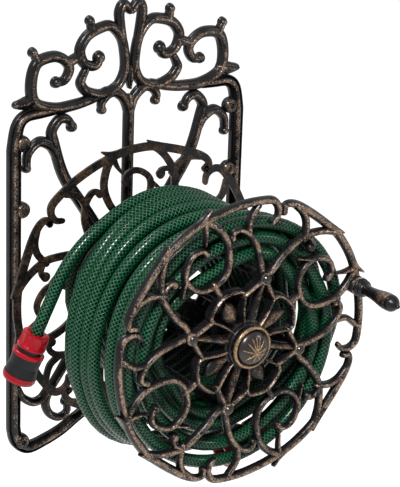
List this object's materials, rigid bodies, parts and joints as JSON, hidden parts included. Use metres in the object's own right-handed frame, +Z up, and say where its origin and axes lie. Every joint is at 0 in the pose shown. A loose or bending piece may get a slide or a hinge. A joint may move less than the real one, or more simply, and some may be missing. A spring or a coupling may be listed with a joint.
{
  "type": "wall mounted garden hose reel",
  "caption": "Ornamental cast wall plate carrying a turning reel with scrollwork wheels and a crank handle, with a braided garden hose wound on it.",
  "frame": {"origin": "where the reel's axle meets the wall face, at the centre of the four corner screws", "axes": "X right along the wall, Z up, -Y out of the wall towards the user; the wall face is the plane Y = 0"},
  "size_m": [0.3642, 0.3208, 0.5355],
  "materials": {
    "antique_iron": "near-black with bronze rubbed on the raised edges",
    "bronzed_iron": "dark bronze speckle",
    "steel": "plain zinc-plated",
    "dark_steel": "dark, slightly shiny",
    "bush_nylon": "natural nylon",
    "braided_hose": "dark green, with a woven thread pattern under a clear skin",
    "red_plastic": "moulded, satin gloss",
    "grey_plastic": "dark grey soft grip",
    "seal_rubber": "black"
  },
  "bodies": {
    "frame": {"wall_plate": "antique_iron", "axle": "steel", "axle_washer": "steel", "axle_nut": "steel", "thrust_washers": "steel", "rosette_cap": "bronzed_iron"},
    "reel": {"rear_wheel": "antique_iron", "front_wheel": "antique_iron", "rear_bush": "bush_nylon", "front_bush": "bush_nylon", "hub_tube": "antique_iron", "drum_bar_1": "antique_iron", "drum_bar_2": "antique_iron", "drum_bar_3": "antique_iron", "drum_bar_4": "antique_iron", "rear_bar_screws": "dark_steel", "front_bar_screws": "dark_steel", "crank_stud": "dark_steel", "crank_cap": "bronzed_iron", "hose_core": "braided_hose", "hose_winding": "braided_hose", "hose_feed": "braided_hose", "hose_tail": "braided_hose", "outlet_nut": "red_plastic", "outlet_body": "grey_plastic", "outlet_seal": "seal_rubber", "inlet_nut": "red_plastic", "inlet_body": "grey_plastic", "inlet_seal": "seal_rubber"},
    "crank": {"crank_handle": "bronzed_iron"},
    "outlet_grip": {"outlet_sleeve": "grey_plastic", "outlet_rings": "red_plastic"},
    "inlet_grip": {"inlet_sleeve": "grey_plastic", "inlet_rings": "red_plastic"}
  },
  "joints": [
    {"name": "reel_spin", "type": "hinge", "parent": "frame", "child": "reel", "pos_m": [0, 0, 0], "axis": [0, -1, 0], "continuous": true},
    {"name": "crank_spin", "type": "hinge", "parent": "reel", "child": "crank", "pos_m": [0.15234, -0.28, 0.03798], "axis": [0, -1, 0], "continuous": true},
    {"name": "outlet_sleeve_pull", "type": "slide", "parent": "reel", "child": "outlet_grip", "axis": [0.3013, -0.1752, 0.9373], "range_m": [0, 0.004], "stiffness_N_per_m": 400, "springref_m": -0.004},
    {"name": "inlet_sleeve_pull", "type": "slide", "parent": "reel", "child": "inlet_grip", "axis": [0.9511, 0, 0.309], "range_m": [0, 0.004], "stiffness_N_per_m": 400, "springref_m": -0.004}
  ]
}
